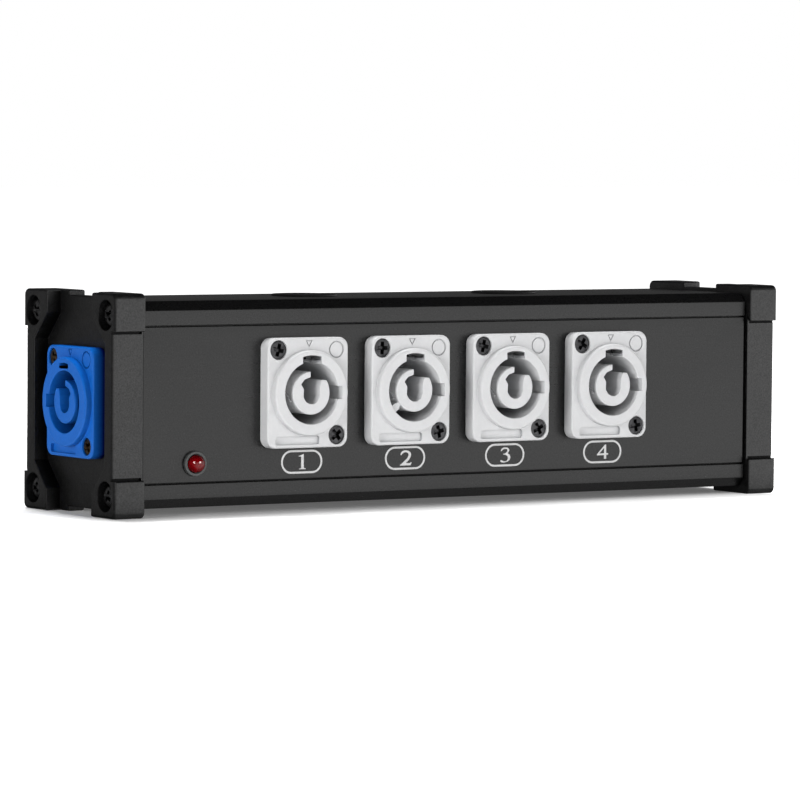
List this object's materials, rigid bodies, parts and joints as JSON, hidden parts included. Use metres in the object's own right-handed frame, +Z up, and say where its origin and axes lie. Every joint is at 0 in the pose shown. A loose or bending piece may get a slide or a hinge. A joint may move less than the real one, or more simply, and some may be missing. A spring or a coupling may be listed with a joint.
{
  "type": "portable power distribution box",
  "caption": "Slim black box with an extruded housing, bumpered end caps, a blue locking power inlet on one end and a front row of white locking outlets with a red lamp.",
  "frame": {"origin": "centre of the underside of the whole object's box, connectors included, at the level of the corner bumpers' undersides", "axes": "+X along the box, away from the inlet end; +Y to the back; +Z up. The outlets face -Y and the inlet faces -X"},
  "size_m": [0.2282, 0.056, 0.062],
  "materials": {
    "housing_black": "fine-textured black anodised aluminium, satin-matt",
    "panel_black": "fine-textured black coating, satin-matt",
    "cap_black": "moulded black plastic with a fine spark-eroded grain",
    "black_screw": "black oxide steel, pan head, cross recess",
    "dark_screw": "dark zinc steel, countersunk, cross recess",
    "nickel_screw": "dull nickel-plated steel",
    "connector_blue": "satin moulded blue nylon",
    "connector_white": "satin moulded off-white nylon",
    "contact_brass": "stamped brass blade",
    "lamp_red": "clear dark red lens",
    "bezel_grey": "satin dark grey lamp holder",
    "plug_black": "moulded black blanking plug",
    "wire_brown": "brown insulated wire",
    "wire_blue": "blue insulated wire",
    "wire_green": "green and yellow insulated wire"
  },
  "bodies": {
    "root": {"cap_screw_left_front_bottom": "black_screw", "cap_screw_left_front_top": "black_screw", "cap_screw_left_rear_bottom": "black_screw", "cap_screw_left_rear_top": "black_screw", "cap_screw_right_front_bottom": "black_screw", "cap_screw_right_front_top": "black_screw", "cap_screw_right_rear_bottom": "black_screw", "cap_screw_right_rear_top": "black_screw", "earth_screw": "nickel_screw", "earth_wire": "wire_green", "end_cap_left": "cap_black", "end_cap_right": "cap_black", "extrusion_body": "housing_black", "front_panel": "panel_black", "indicator_bezel": "bezel_grey", "indicator_lead_live": "wire_brown", "indicator_lead_neutral": "wire_blue", "indicator_lens": "lamp_red", "inlet_contact_carrier": "connector_blue", "inlet_contact_earth": "contact_brass", "inlet_contact_live": "contact_brass", "inlet_contact_neutral": "contact_brass", "inlet_flange_screw_lower": "nickel_screw", "inlet_flange_screw_upper": "nickel_screw", "inlet_housing": "connector_blue", "live_wire": "wire_brown", "neutral_wire": "wire_blue", "outlet_1_contact_carrier": "connector_white", "outlet_1_contact_earth": "contact_brass", "outlet_1_contact_live": "contact_brass", "outlet_1_contact_neutral": "contact_brass", "outlet_1_flange_screw_lower": "dark_screw", "outlet_1_flange_screw_upper": "dark_screw", "outlet_1_housing": "connector_white", "outlet_2_contact_carrier": "connector_white", "outlet_2_contact_earth": "contact_brass", "outlet_2_contact_live": "contact_brass", "outlet_2_contact_neutral": "contact_brass", "outlet_2_flange_screw_lower": "dark_screw", "outlet_2_flange_screw_upper": "dark_screw", "outlet_2_housing": "connector_white", "outlet_3_contact_carrier": "connector_white", "outlet_3_contact_earth": "contact_brass", "outlet_3_contact_live": "contact_brass", "outlet_3_contact_neutral": "contact_brass", "outlet_3_flange_screw_lower": "dark_screw", "outlet_3_flange_screw_upper": "dark_screw", "outlet_3_housing": "connector_white", "outlet_4_contact_carrier": "connector_white", "outlet_4_contact_earth": "contact_brass", "outlet_4_contact_live": "contact_brass", "outlet_4_contact_neutral": "contact_brass", "outlet_4_flange_screw_lower": "dark_screw", "outlet_4_flange_screw_upper": "dark_screw", "outlet_4_housing": "connector_white", "top_plug_1": "plug_black", "top_plug_2": "plug_black"}
  },
  "joints": []
}
